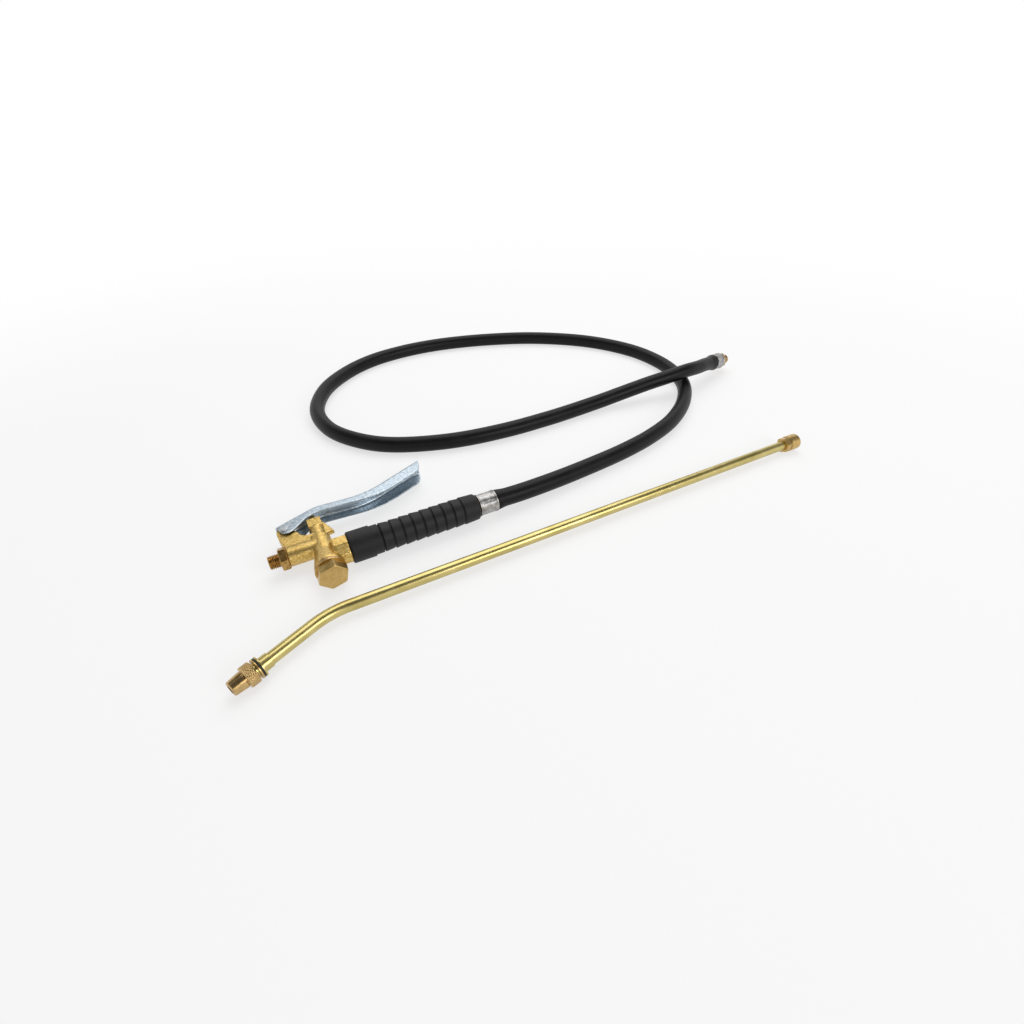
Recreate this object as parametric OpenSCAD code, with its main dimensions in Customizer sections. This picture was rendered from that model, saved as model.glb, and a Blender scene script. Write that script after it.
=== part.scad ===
// Hand spray gun for an orchard or vineyard sprayer, with its pressure hose and its separate bent lance.
// The set lies flat: the gun on its side with the lever away from the viewer, the hose in one loop behind it,
// the lance along the front. Millimetres, +Z up, the floor at z = 0, +X towards the hose end of the grip.

/* [Grip] */
// Length of the moulded grip
grip_length = 120; // [110:2:130]
// Diameter of the collar at the grip's front
grip_collar_d = 28; // [27:0.5:30]
// Length of that collar
grip_collar_length = 20; // [16:1:24]
// Diameter over the ribs
grip_rib_d = 26; // [24:0.5:27]
// Number of grooves round the grip
grip_grooves = 9; // [7:1:11]
// Plain length behind the last groove
grip_plain_length = 16; // [12:1:20]

/* [Handle tube and hose] */
// Outside diameter of the steel tube inside the grip
handle_tube_d = 13.8; // [13:0.1:14.6]
// Bore of the handle tube
handle_tube_bore = 10; // [9:0.2:10.6]
// Outside diameter of the hose
hose_d = 17.5; // [16.5:0.25:18]
// Bore of the hose
hose_bore = 10.4; // [10:0.1:11]
// Outside diameter of a hose ferrule
ferrule_d = 21; // [20.5:0.25:22]
// Length of a hose ferrule
ferrule_length = 18; // [15:1:21]

/* [Valve body] */
// Distance from the valve tower's axis to the grip's front face
tower_back = 19.5; // [18.5:0.5:22]
// Diameter of the tower's round middle
tower_d = 18; // [17.5:0.5:20]
// Diameter of the tower's foot, where the cap screws on
foot_d = 25; // [24:0.5:26]
// Distance from the grip's axis down to the face of the foot
foot_drop = 16; // [15:0.5:19]
// Distance from the grip's axis up to the top of the tower's head
head_rise = 47.5; // [46.5:0.5:48.5]
// Width of the tower's square head
head_width = 12; // [11.5:0.5:13]
// Diameter of the round neck below the head
neck_d = 13; // [12.5:0.5:14]
// Distance from the grip's axis up to the outlet's axis
outlet_rise = 13; // [12.5:0.5:14]
// Diameter of the outlet barrel
outlet_d = 17; // [16:0.5:18]
// Distance from the tower's axis to the end of the outlet barrel
outlet_reach = 28.5; // [27:0.5:31]
// Width across the flats of the eight-sided inlet boss
inlet_flats = 24; // [22:0.5:25]
// Diameter of the male threads that take a union nut
thread_d = 12; // [11.5:0.5:13]

/* [Valve parts] */
// Diameter of the valve stem
stem_d = 5; // [4.6:0.2:5.4]
// Diameter of the valve disc
disc_d = 12; // [11:0.5:12.5]
// Diameter of the hole in the valve seat
seat_d = 8; // [7:0.5:8.5]
// Diameter of the spring chamber
chamber_d = 15; // [14.5:0.5:15.5]
// Wire diameter of the valve spring
spring_wire = 1.2; // [1:0.1:1.4]
// Number of turns of the valve spring
spring_turns = 7; // [5:1:8]
// Width across the flats of the hexagon caps and nuts on the tower
cap_flats = 22.4; // [21:0.2:22.4]
// Height of the cap's hexagon
cap_height = 9; // [7:0.5:10]

/* [Lever] */
// Distance from the tower's axis forward to the lever's pin
pin_ahead = 25.5; // [25:0.5:27]
// Distance from the grip's axis up to the lever's pin
pin_rise = 41; // [40:0.5:41.5]
// Diameter of the lever's pin
pin_d = 5; // [4:0.5:6]
// Thickness of the lever's sheet
lever_sheet = 1.6; // [1.2:0.1:2]
// Width over the lever's two sides
lever_width = 16.2; // [16:0.2:18]
// Outside radius of the lever's long bends
lever_fold_r = 4; // [3:0.5:5]
// Depth of the lever's ears at the pin
lever_ear_depth = 16; // [15:0.5:17]
// Depth of the lever's sides over the valve stem
lever_waist_depth = 10; // [9:0.5:12]
// Depth of the lever's sides along the hand part
lever_hand_depth = 15; // [13:0.5:17]
// Length of the straight hand part of the lever
lever_hand_length = 52.6; // [45:1:60]

/* [Lance] */
// Outside diameter of the lance tube
lance_d = 10; // [9:0.5:11]
// Bore of the lance tube
lance_bore = 8; // [6:0.5:8]
// Length of the straight part of the lance tube
lance_length = 486; // [400:2:600]
// Angle of the bend near the nozzle
lance_bend = 25; // [15:5:45]
// Radius of that bend
lance_bend_r = 70; // [50:5:100]
// Length from the bend to the tip of the nozzle
lance_front = 66; // [60:1:80]
// Diameter of the nozzle's knurled ring
nozzle_ring_d = 17; // [16:0.5:18]
// Diameter of the nozzle's polished nose
nozzle_nose_d = 13.2; // [12.6:0.2:14]
// Diameter of the union nut on the lance
union_d = 17; // [16:0.5:18]
// Length of that union nut
union_length = 20; // [18:1:24]

/* [Hidden] */
$fn = 48;

// clearances: a turning or sliding fit, a hand-pushed fit, a thread drawn plain, an open gap, a cut's overrun
run_gap = 0.05;
push_gap = 0.1;
thread_gap = 0.05;
open_gap = 0.3;
over = 1;

// colours of the finishes
cast_brass = [0.78, 0.62, 0.27];
turned_brass = [0.72, 0.55, 0.26];
copper = [0.72, 0.45, 0.34];
tube_brass = [0.74, 0.7, 0.38];
zinc_steel = [0.66, 0.71, 0.75];
bare_steel = [0.6, 0.6, 0.62];
black_grip = [0.1, 0.1, 0.11];
black_hose = [0.07, 0.07, 0.08];
seal_rubber = [0.12, 0.12, 0.12];
soft_aluminium = [0.75, 0.76, 0.77];

// the gun lies on its grip collar, the lance on its two widest rings
gun_x = -191;
gun_y = 5;
gun_z = max(grip_collar_d, foot_d + 1) / 2;
lance_x = -207;
lance_y = -52.3;
lance_z = max(nozzle_ring_d, union_d) / 2;

// stations across the valve tower, measured up from the grip's axis
seat_face = 6;
seat_top = 8;
outlet_chamber_top = 20;
packing_floor = head_rise - 11.5;
head_floor = 36;
neck_floor = 25;
shoulder_floor = 22;
foot_height = 3;
cone_top = 2;

// cap, washer and the plug that screws into the foot
washer_thick = 1.5;
washer_overhang = 0.3;
flange_thick = 1.5;
plug_d = chamber_d + 2;
plug_length = 8;
pocket_d = chamber_d - 2;
pocket_depth = 4.5;
cap_flange_d = foot_d + 1;
cap_seat = -foot_drop - washer_thick;
pocket_floor = cap_seat - pocket_depth;

// spindle and its seal
seal_thick = 1.5;
seal_lift = 0.1;
disc_top = seat_face - seal_lift - seal_thick;
disc_thick = 3;
guide_d = 7;
guide_length = 3.4;

// packing and gland nut in the tower's head
packing_d = 8.4;
packing_height = 5;
gland_height = 5.8;
gland_slot = 1.2;

// lug that carries the lever, and the lever's place on it
lug_width = 11;
lug_boss_r = 6.8;
lever_lift = 9.3;
lever_overhang = 3.5;
tip_slant = 35;
tip_slant_run = 40;
ear_corner_r = 5;
tip_corner_r = 6;
ear_slope = 21;
waist_slope = -3;
hand_slope = 24;
ear_run = 32;
waist_bend_r = 34;
waist_run = 22;
hand_bend_r = 70;
pin_head_d = 8;
pin_head_thick = 1.2;

// outlet nipple
nipple_hex = 6.5;
nipple_thread = 9;
nipple_screw_d = 11;
nipple_screw = 8;
nipple_bore = 7;
hex_flats = 18;
thread_chamfer = 0.8;

// handle tube, its socket in the body, and the barbed tail
socket_depth = 8;
tube_end_gap = 2.5;
tail_plug = 12;
tail_bore = 6;
tail_reach = 20;
tail_barbs = 4;
barb_d = hose_bore - 0.6;
barb_root_d = hose_bore - 1.8;
ferrule_gap = 1;
ferrule_lip = 1.2;
ferrule_rim = 0.3;
hose_start = grip_length + ferrule_gap + ferrule_lip;

// far fitting
fitting_flats = 17;
fitting_hex = 8;
fitting_thread = 11;

// nozzle stations, measured back from the tip along the lance's front leg
nose_end = 10.6;
ring_end = 18;
lock_front = 19.4;
lock_thick = 1.2;
seal_ring_thick = 1.4;
flange_back = 23.2;
sleeve_end = 30;
lock_d = nozzle_ring_d - 1;
flange_d = nozzle_ring_d - 0.7;
sleeve_wall = 0.8;
spigot_d = 10.4;
spigot_front = 7;
spigot_bore = 6;
core_length = 6;
core_hole = 1.5;
gasket_thick = 1;
disc_plate = 1.5;
jet_hole = 1.2;
mouth_d = 7;

// union nut and the collar it pulls on
union_shoulder = 4;
collar_d = thread_d - 1;
collar_thick = 3;
collar_sleeve = 5;
union_seal_thick = 1.5;
union_round = 13;
thread_relief = 0.4;
nut_chamfer = 1;

// ---- shared helpers ----

// the gun's own frame: X along the grip, Y up the valve tower, origin at the grip's front on its axis
module at_gun() {
    translate([gun_x, gun_y, gun_z])
        children();
}

// turns a solid built along Z so that it runs along X
module along_x(x) {
    translate([x, 0, 0])
        rotate([0, 90, 0])
            children();
}

// puts a solid built along Z on the valve tower's axis
module on_tower() {
    translate([-tower_back, 0, 0])
        rotate([-90, 0, 0])
            children();
}

// puts a solid built along Z on the outlet's axis, running forwards from the tower
module on_outlet(reach) {
    translate([-tower_back - reach, outlet_rise, 0])
        rotate([0, -90, 0])
            children();
}

// puts a solid built along Z on the lever's pin
module on_pin() {
    translate([-tower_back - pin_ahead, pin_rise, 0])
        children();
}

// a round bar from height a to height b
module bar(d, a, b) {
    translate([0, 0, a])
        cylinder(d = d, h = b - a);
}

// a ring from height a to height b
module ring(d, hole, a, b) {
    difference() {
        bar(d, a, b);
        bar(hole, a - over, b + over);
    }
}

// a hexagon from height a to height b with its corners turned off at a, and at b too if back is turned
module hexagon(flats, a, b, turned, back = true) {
    corner_r = flats / 2 / cos(30) + nut_chamfer / 5;
    intersection() {
        translate([0, 0, a])
            cylinder(d = flats / cos(30), h = b - a, $fn = 6);
        rotate_extrude()
            polygon(concat([[0, a], [turned / 2, a], [corner_r, a + nut_chamfer]],
                back ? [[corner_r, b - nut_chamfer], [turned / 2, b]] : [[corner_r, b]],
                [[0, b]]));
    }
}

// a male thread's plain outside, turned down at its free end
module screw_end(d, length) {
    rotate_extrude()
        polygon([[0, 0], [d / 2, 0], [d / 2, length - thread_chamfer], [d / 2 - thread_chamfer, length], [0, length]]);
}

// a hose tail along -Z from its root at z = 0: each barb is a cone that opens towards the root
module barbed_tail() {
    barb = tail_reach / tail_barbs;
    for (i = [0 : tail_barbs - 1])
        translate([0, 0, -(i + 1) * barb])
            cylinder(d1 = barb_root_d, d2 = barb_d, h = barb);
}

// ---- valve body and what screws into it ----

module tower_solid() {
    on_tower() {
        rotate_extrude()
            polygon([[0, -foot_drop], [foot_d / 2, -foot_drop], [foot_d / 2, -foot_drop + foot_height],
                [tower_d / 2, cone_top], [tower_d / 2, shoulder_floor], [neck_d / 2, neck_floor],
                [neck_d / 2, head_floor + over], [0, head_floor + over]]);
        translate([-head_width / 2, -head_width / 2, head_floor])
            cube([head_width, head_width, head_rise - head_floor]);
    }
}

// flat lug between tower, barrel and pin: a concave front, a boss round the pin, a step at the tower
module lever_lug() {
    pin_x = -tower_back - pin_ahead;
    tower_x = -tower_back;
    barrel_x = tower_x - outlet_reach;
    translate([0, 0, -lug_width / 2]) {
        linear_extrude(lug_width)
            polygon([[tower_x, outlet_rise], [barrel_x, outlet_rise], [barrel_x, 23.8], [pin_x - 5, 26],
                [pin_x - 5.8, 31], [pin_x - 6.8, pin_rise - 2], [pin_x, pin_rise], [pin_x + 6.8, pin_rise - 2],
                [pin_x + 9.5, 37], [pin_x + 12, 30], [tower_x - 9, 27.5], [tower_x, 28.5]]);
        translate([pin_x, pin_rise, 0])
            cylinder(r = lug_boss_r, h = lug_width);
    }
}

// thin rib on the grip side of the head
module tower_fin() {
    fin_thick = 4.5;
    translate([-tower_back, 0, -fin_thick / 2])
        linear_extrude(fin_thick)
            polygon([[0, 46], [head_width / 2 + 0.5, 46], [13.5, 27.5], [8.5, 26.5], [0, 26.5]]);
}

module valve_body() {
    boss_start = -tower_back + chamber_d / 2;
    color(cast_brass)
        at_gun()
            difference() {
                union() {
                    tower_solid();
                    on_outlet(0)
                        cylinder(d = outlet_d, h = outlet_reach);
                    along_x(boss_start)
                        rotate([0, 0, 22.5])
                            cylinder(d = inlet_flats / cos(22.5), h = -boss_start, $fn = 8);
                    lever_lug();
                    tower_fin();
                }
                on_tower() {
                    bar(plug_d + 2 * thread_gap, -foot_drop - over, cap_seat + plug_length + over);
                    bar(chamber_d, -foot_drop, seat_face);
                    bar(seat_d, seat_face - over, seat_top);
                    bar(seat_d + 2, seat_top, outlet_chamber_top);
                    bar(stem_d + 2 * run_gap, outlet_chamber_top - over, head_rise);
                    bar(packing_d, packing_floor, head_rise + over);
                }
                on_outlet(0)
                    cylinder(d = nipple_bore, h = outlet_reach);
                on_outlet(outlet_reach - nipple_screw)
                    cylinder(d = nipple_screw_d + 2 * thread_gap, h = nipple_screw + over);
                along_x(-tower_back)
                    cylinder(d = handle_tube_bore - 0.4, h = tower_back);
                along_x(-socket_depth)
                    cylinder(d = handle_tube_d + 2 * thread_gap, h = socket_depth + over);
                on_pin()
                    bar(pin_d, -lug_width, lug_width);
            }
}

// hexagon cap with a hollow plug: it closes the foot and carries the spring
module cap_nut() {
    color(turned_brass)
        at_gun()
            on_tower()
                difference() {
                    union() {
                        rotate([0, 0, -15])
                            hexagon(cap_flats, cap_seat - flange_thick - cap_height, cap_seat - flange_thick / 2,
                                cap_flats + 1.5, back = false);
                        bar(cap_flange_d, cap_seat - flange_thick, cap_seat);
                        bar(plug_d, cap_seat - flange_thick, cap_seat + plug_length);
                    }
                    bar(pocket_d, pocket_floor, cap_seat + plug_length + over);
                }
}

module cap_washer() {
    color(copper)
        at_gun()
            on_tower()
                ring(foot_d + 2 * washer_overhang, plug_d + 2 * thread_gap, cap_seat, -foot_drop);
}

// height of the spring's wire after t turns: the first and last turns lie almost flat
function spring_rise(t, low, high) =
    let (flat = spring_wire + 0.1, span = high - low)
    t < 1 ? low + flat * t :
    t > spring_turns - 1 ? high - flat * (spring_turns - t) :
    low + flat + (span - 2 * flat) * (t - 1) / (spring_turns - 2);

module valve_spring() {
    steps = 12;
    sides = 6;
    wire_r = spring_wire / 2;
    coil_r = pocket_d / 2 - wire_r - open_gap;
    low = pocket_floor + wire_r;
    high = disc_top - disc_thick - wire_r;
    rings = spring_turns * steps;
    points = [for (i = [0 : rings], j = [0 : sides - 1])
        let (turn = 360 * i / steps, side = 360 * j / sides + 90, r = coil_r + wire_r * cos(side))
        [r * cos(turn), r * sin(turn), spring_rise(i / steps, low, high) + wire_r * sin(side)]];
    walls = [for (i = [0 : rings - 1], j = [0 : sides - 1])
        let (a = i * sides + j, b = i * sides + (j + 1) % sides)
        each [[a, b + sides, b], [a, a + sides, b + sides]]];
    ends = [[for (j = [0 : sides - 1]) j], [for (j = [sides - 1 : -1 : 0]) rings * sides + j]];
    color(bare_steel)
        at_gun()
            on_tower()
                polyhedron(points, concat(walls, ends), convexity = 10);
}

module valve_spindle() {
    color(turned_brass)
        at_gun()
            on_tower() {
                bar(disc_d, disc_top - disc_thick, disc_top);
                bar(guide_d, disc_top - disc_thick - guide_length, disc_top);
                bar(stem_d, disc_top - disc_thick, dome_centre);
                translate([0, 0, dome_centre])
                    sphere(r = stem_dome_r);
            }
}

module disc_seal() {
    color(seal_rubber)
        at_gun()
            on_tower()
                ring(disc_d - 0.8, stem_d, disc_top, disc_top + seal_thick);
}

module stem_packing() {
    color(seal_rubber)
        at_gun()
            on_tower()
                ring(packing_d, stem_d + 2 * run_gap, packing_floor, packing_floor + packing_height);
}

module gland_nut() {
    base = packing_floor + packing_height;
    color(turned_brass)
        at_gun()
            on_tower()
                difference() {
                    ring(packing_d - 2 * thread_gap, stem_d + 4 * run_gap, base, base + gland_height);
                    translate([-packing_d, -gland_slot / 2, base + gland_height - gland_slot])
                        cube([2 * packing_d, gland_slot, 2 * gland_slot]);
                }
}

module outlet_nipple() {
    color(turned_brass)
        at_gun()
            on_outlet(outlet_reach)
                difference() {
                    union() {
                        hexagon(hex_flats, 0, nipple_hex, hex_flats + 0.5);
                        bar(nipple_screw_d, -nipple_screw, nut_chamfer);
                        translate([0, 0, nipple_hex])
                            screw_end(thread_d, nipple_thread);
                    }
                    bar(nipple_bore, -nipple_screw - over, nipple_hex + nipple_thread + over);
                }
}

// ---- lever: one pressed channel, open towards the grip ----

// one step of the path: a straight run, or an arc whose slope changes from a to b
function walk(p, a, run) = p + run * [cos(a), sin(a)];
function drop_bend(p, r, a, b) = p + r * [sin(a) - sin(b), cos(b) - cos(a)];
function rise_bend(p, r, a, b) = p + r * [sin(b) - sin(a), cos(a) - cos(b)];
function bend_run(r, a, b) = r * abs(b - a) * PI / 180;

path_start = walk([-tower_back - pin_ahead, pin_rise], ear_slope, -lever_overhang)
    + lever_lift * [-sin(ear_slope), cos(ear_slope)];
ear_end = walk(path_start, ear_slope, ear_run);
bend_centre = ear_end + waist_bend_r * [sin(ear_slope), -cos(ear_slope)];
waist_start = drop_bend(ear_end, waist_bend_r, ear_slope, waist_slope);
waist_end = walk(waist_start, waist_slope, waist_run);
hand_start = rise_bend(waist_end, hand_bend_r, waist_slope, hand_slope);
waist_start_s = ear_run + bend_run(waist_bend_r, ear_slope, waist_slope);
waist_end_s = waist_start_s + waist_run;
hand_start_s = waist_end_s + bend_run(hand_bend_r, waist_slope, hand_slope);
lever_length = hand_start_s + lever_hand_length;

// height of the centre of the stem's domed top, an open gap under the web's bend
stem_dome_r = stem_d / 2;
dome_reach = waist_bend_r - lever_sheet - stem_dome_r - open_gap;
dome_centre = bend_centre[1] + sqrt(pow(dome_reach, 2) - pow(-tower_back - bend_centre[0], 2));

// place and slope of the outer face of the web at distance s along it
function path_slope(s) =
    s < ear_run ? ear_slope :
    s < waist_start_s ? ear_slope - (s - ear_run) / waist_bend_r * 180 / PI :
    s < waist_end_s ? waist_slope :
    s < hand_start_s ? waist_slope + (s - waist_end_s) / hand_bend_r * 180 / PI :
    hand_slope;
function path_point(s) =
    s < ear_run ? walk(path_start, ear_slope, s) :
    s < waist_start_s ? drop_bend(ear_end, waist_bend_r, ear_slope, path_slope(s)) :
    s < waist_end_s ? walk(waist_start, waist_slope, s - waist_start_s) :
    s < hand_start_s ? rise_bend(waist_end, hand_bend_r, waist_slope, path_slope(s)) :
    walk(hand_start, hand_slope, s - hand_start_s);

// depth of the channel's sides at distance s, with a rounded corner of radius r at a cut end d away
function ease(u) = let (v = max(0, min(1, u))) v * v * (3 - 2 * v);
function side_depth(s) = lever_ear_depth
    + (lever_waist_depth - lever_ear_depth) * ease((s - 8) / 20)
    + (lever_hand_depth - lever_waist_depth) * ease((s - waist_end_s + 4) / 50);
function corner_loss(d, r) = d < r ? r - sqrt(max(0, r * r - pow(r - d, 2))) : 0;
function channel_depth(s) =
    side_depth(s) - corner_loss(s, ear_corner_r) - corner_loss(lever_length - s, tip_corner_r);

// how far a side's edge lies back at distance s: the tip is cut across at a slant
function slant(s) = tan(tip_slant) * ease((s - lever_length + tip_slant_run) / tip_slant_run);

// one folded section as [distance in from the web's outer face, height across]: down one side, round, back
fold_steps = 4;
function fold(r, side) = [for (i = [0 : fold_steps])
    let (a = side > 0 ? 90 - 90 * i / fold_steps : 90 * i / fold_steps)
    [lever_fold_r - r * cos(a), side * (lever_width / 2 - lever_fold_r + r * sin(a))]];
function half_section(depth, inset) = concat([[depth, lever_width / 2 - inset]],
    fold(lever_fold_r - inset, 1), fold(lever_fold_r - inset, -1), [[depth, inset - lever_width / 2]]);
row = 2 * (fold_steps + 1) + 2;

module lever_channel() {
    spans = 40;
    corner_steps = 5;
    plain = lever_length - ear_corner_r - tip_corner_r;
    stations = concat(
        [for (i = [0 : corner_steps - 1]) ear_corner_r * (1 - cos(90 * i / corner_steps))],
        [for (i = [0 : spans]) ear_corner_r + plain * i / spans],
        [for (i = [corner_steps - 1 : -1 : 0]) lever_length - tip_corner_r * (1 - cos(90 * i / corner_steps))]);
    last = len(stations) - 1;
    points = [for (s = stations)
        let (p = path_point(s), a = path_slope(s), depth = channel_depth(s))
        for (q = concat(half_section(depth, 0), half_section(depth, lever_sheet)))
            [p[0] + q[0] * (sin(a) - slant(s) * cos(a)), p[1] - q[0] * (cos(a) + slant(s) * sin(a)), q[1]]];
    round = 2 * row;
    walls = [for (i = [0 : last - 1], j = [0 : row - 2])
        let (a = i * round + j, b = a + row)
        each [[a, a + 1, a + 1 + round], [a, a + 1 + round, a + round],
            [b, b + 1 + round, b + 1], [b, b + round, b + 1 + round]]];
    edges = [for (i = [0 : last - 1], j = [0, row - 1])
        let (a = i * round + j, b = a + row, turn = j == 0)
        each turn ? [[a, a + round, b + round], [a, b + round, b]]
            : [[a, b + round, a + round], [a, b, b + round]]];
    ends = [for (j = [0 : row - 2])
        each [[j, j + row, j + 1 + row, j + 1],
            [last * round + j, last * round + j + 1, last * round + j + 1 + row, last * round + j + row]]];
    polyhedron(points, concat(walls, edges, ends), convexity = 8);
}

module lever() {
    color(zinc_steel)
        at_gun()
            difference() {
                lever_channel();
                on_pin()
                    bar(pin_d + 2 * run_gap, -lever_width, lever_width);
            }
}

module lever_pin() {
    head_seat = lever_width / 2 + push_gap;
    color(bare_steel)
        at_gun()
            on_pin() {
                bar(pin_d, -head_seat, head_seat);
                bar(pin_head_d, head_seat, head_seat + pin_head_thick);
                bar(pin_head_d - 1, -head_seat - pin_head_thick, -head_seat);
            }
}

// ---- handle: steel tube, moulded grip, barbed tail ----

tube_end = grip_length - tube_end_gap;

module handle_tube() {
    color(bare_steel)
        at_gun()
            along_x(0)
                ring(handle_tube_d, handle_tube_bore, -socket_depth, tube_end);
}

// barbed insert in the end of the handle tube
module hose_tail() {
    color(turned_brass)
        at_gun()
            along_x(0)
                difference() {
                    union() {
                        bar(handle_tube_bore - 2 * thread_gap, tube_end - tail_plug, tube_end + thread_gap);
                        bar(handle_tube_d, tube_end, hose_start);
                        translate([0, 0, hose_start])
                            mirror([0, 0, 1])
                                barbed_tail();
                    }
                    bar(tail_bore, tube_end - tail_plug - over, hose_start + tail_reach + over);
                }
}

// the grip's outline as [radius, distance back]: each rib starts high and falls a little towards the hose
module grip() {
    collar_r = grip_collar_d / 2;
    rib_r = grip_rib_d / 2;
    rib_fall = 0.7;
    groove_depth = 1.3;
    groove_half = 0.9;
    edge = 1.5;
    first = grip_collar_length + 8;
    pitch = (grip_length - first - grip_plain_length) / (grip_grooves - 1);
    bore_r = handle_tube_d / 2 + push_gap;
    ribs = [for (i = [0 : grip_grooves - 1])
        let (x = first + i * pitch, before = i == 0 ? 0 : rib_fall)
        each [[rib_r - before, x - groove_half], [rib_r - groove_depth, x - groove_half / 3],
            [rib_r - groove_depth, x + groove_half / 3], [rib_r, x + groove_half]]];
    color(black_grip)
        at_gun()
            along_x(0)
                rotate_extrude()
                    polygon(concat(
                        [[bore_r, 0], [collar_r - edge, 0], [collar_r - edge / 3, edge / 3], [collar_r, edge],
                            [collar_r, grip_collar_length]],
                        ribs,
                        [[rib_r - rib_fall, grip_length - edge], [rib_r - 2 * rib_fall - edge / 2, grip_length],
                            [bore_r, grip_length]]));
}

// crimped ferrule along +Z, its inward lip first
module ferrule() {
    shell = ferrule_d / 2;
    rim = 1.2;
    lip_r = handle_tube_d / 2 + push_gap;
    hose_r = hose_d / 2 + open_gap;
    color(soft_aluminium)
        rotate_extrude()
            polygon([[lip_r, 0], [shell, 0], [shell, rim], [shell - ferrule_rim, rim + ferrule_rim],
                [shell - ferrule_rim, ferrule_length - rim - ferrule_rim], [shell, ferrule_length - rim],
                [shell, ferrule_length], [hose_r, ferrule_length], [hose_r, ferrule_lip], [lip_r, ferrule_lip]]);
}

module handle_ferrule() {
    at_gun()
        along_x(hose_start - ferrule_lip)
            ferrule();
}

// ---- hose: one loop on the floor that crosses over itself ----

// the route from the end of the handle tube's shoulder: [forward, sideways, share of the gun's height, share of
// the hose's diameter that it is lifted]
hose_route = [
    [0, 0, 1, 0], [19, 0, 1, 0], [48, 1, 0.7, 0], [90, 5, 0.28, 0], [133, 10, 0.03, 0],
    [181, 16, 0, 0], [228, 26, 0, 0], [275, 43.5, 0, 0], [319, 73, 0, 0], [351, 111, 0, 0],
    [365, 158, 0, 0], [362, 206, 0, 0], [346, 246, 0, 0], [319, 283, 0, 0], [285, 313, 0, 0],
    [244, 339, 0, 0], [200, 358, 0, 0], [151, 373, 0, 0], [102, 381.5, 0, 0], [54, 381.5, 0, 0],
    [7, 372, 0, 0], [-36, 349, 0, 0], [-73, 312, 0, 0], [-94, 262, 0, 0], [-90, 211, 0, 0],
    [-65, 170, 0, 0], [-30, 143, 0, 0], [26, 123, 0, 0], [88, 115, 0, 0], [150, 115, 0, 0],
    [214, 118, 0, 0.07], [254, 116.5, 0, 0.33], [291, 114, 0, 0.62], [322, 109.5, 0, 0.9],
    [349, 108.5, 0, 1.04], [374, 112.5, 0, 0.91]];
route_end = [428, 128, 0.43];
end_yaw = 15.5;
end_dip = 9;
end_straight = 19;

function route_point(k) = [gun_x + hose_start + k[0], gun_y + k[1],
    hose_d / 2 + k[2] * (gun_z - hose_d / 2) + k[3] * hose_d];
end_way = [cos(end_dip) * cos(end_yaw), cos(end_dip) * sin(end_yaw), -sin(end_dip)];
hose_end = [gun_x + hose_start + route_end[0], gun_y + route_end[1], (0.5 + route_end[2]) * hose_d];
hose_points = concat([for (k = hose_route) route_point(k)],
    [hose_end - 2 * end_straight * end_way, hose_end - end_straight * end_way, hose_end]);

// a smooth curve through the points: position at share t between b and c
function spline(a, b, c, d, t) = 0.5 * (2 * b + (c - a) * t
    + (2 * a - 5 * b + 4 * c - d) * t * t + (3 * b - a - 3 * c + d) * t * t * t);
function knot(i) =
    i < 0 ? 2 * hose_points[0] - hose_points[1] :
    i > len(hose_points) - 1 ? 2 * hose_end - hose_points[len(hose_points) - 2] :
    hose_points[i];
function unit(v) = v / norm(v);

module hose() {
    sides = 12;
    steps = 2;
    outer_r = hose_d / 2;
    inner_r = hose_bore / 2;
    spans = len(hose_points) - 1;
    raw = [for (i = [0 : spans - 1], k = [0 : steps - 1])
        spline(knot(i - 1), knot(i), knot(i + 1), knot(i + 2), k / steps)];
    line = concat([for (p = raw) [p[0], p[1], max(p[2], outer_r)]], [hose_end]);
    last = len(line) - 1;
    way = [for (i = [0 : last])
        i == 0 ? [1, 0, 0] : i == last ? end_way : unit(line[i + 1] - line[i - 1])];
    points = [for (i = [0 : last])
        let (right = unit(cross(way[i], [0, 0, 1])), up = cross(right, way[i]))
        for (r = [outer_r, inner_r], j = [0 : sides - 1])
            line[i] + r * cos(360 * j / sides) * up + r * sin(360 * j / sides) * right];
    round = 2 * sides;
    walls = [for (i = [0 : last - 1], j = [0 : sides - 1])
        let (a = i * round + j, b = i * round + (j + 1) % sides, c = a + sides, d = b + sides)
        each [[a, b, b + round], [a, b + round, a + round], [c, d + round, d], [c, c + round, d + round]]];
    ends = [for (j = [0 : sides - 1])
        let (k = (j + 1) % sides, e = last * round)
        each [[j, j + sides, k + sides, k], [e + j, e + k, e + k + sides, e + j + sides]]];
    color(black_hose)
        polyhedron(points, concat(walls, ends), convexity = 10);
}

// the hose's far end: Z runs out of the hose along its last stretch
module at_hose_end() {
    translate(hose_end)
        rotate([0, 90 + end_dip, end_yaw])
            children();
}

module end_ferrule() {
    at_hose_end()
        translate([0, 0, ferrule_lip])
            mirror([0, 0, 1])
                ferrule();
}

module end_fitting() {
    color(turned_brass)
        at_hose_end()
            difference() {
                union() {
                    barbed_tail();
                    bar(handle_tube_d, 0, ferrule_lip);
                    translate([0, 0, ferrule_lip]) {
                        hexagon(fitting_flats, 0, fitting_hex, fitting_flats + 0.5);
                        translate([0, 0, fitting_hex])
                            screw_end(thread_d, fitting_thread);
                    }
                }
                bar(tail_bore, -tail_reach - over, ferrule_lip + fitting_hex + fitting_thread + over);
            }
}

// ---- lance: bent tube, nozzle and union nut ----

// the lance's own frame: X back along the straight part, origin where the bend starts
module at_lance() {
    translate([lance_x, lance_y, lance_z])
        children();
}

// the front leg: Z runs from the nozzle's tip back up the leg
module at_nozzle() {
    at_lance()
        translate([0, -lance_bend_r, 0])
            rotate([0, 0, lance_bend])
                translate([-lance_front, lance_bend_r, 0])
                    rotate([0, 90, 0])
                        children();
}

tube_front = sleeve_end - 5;

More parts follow.
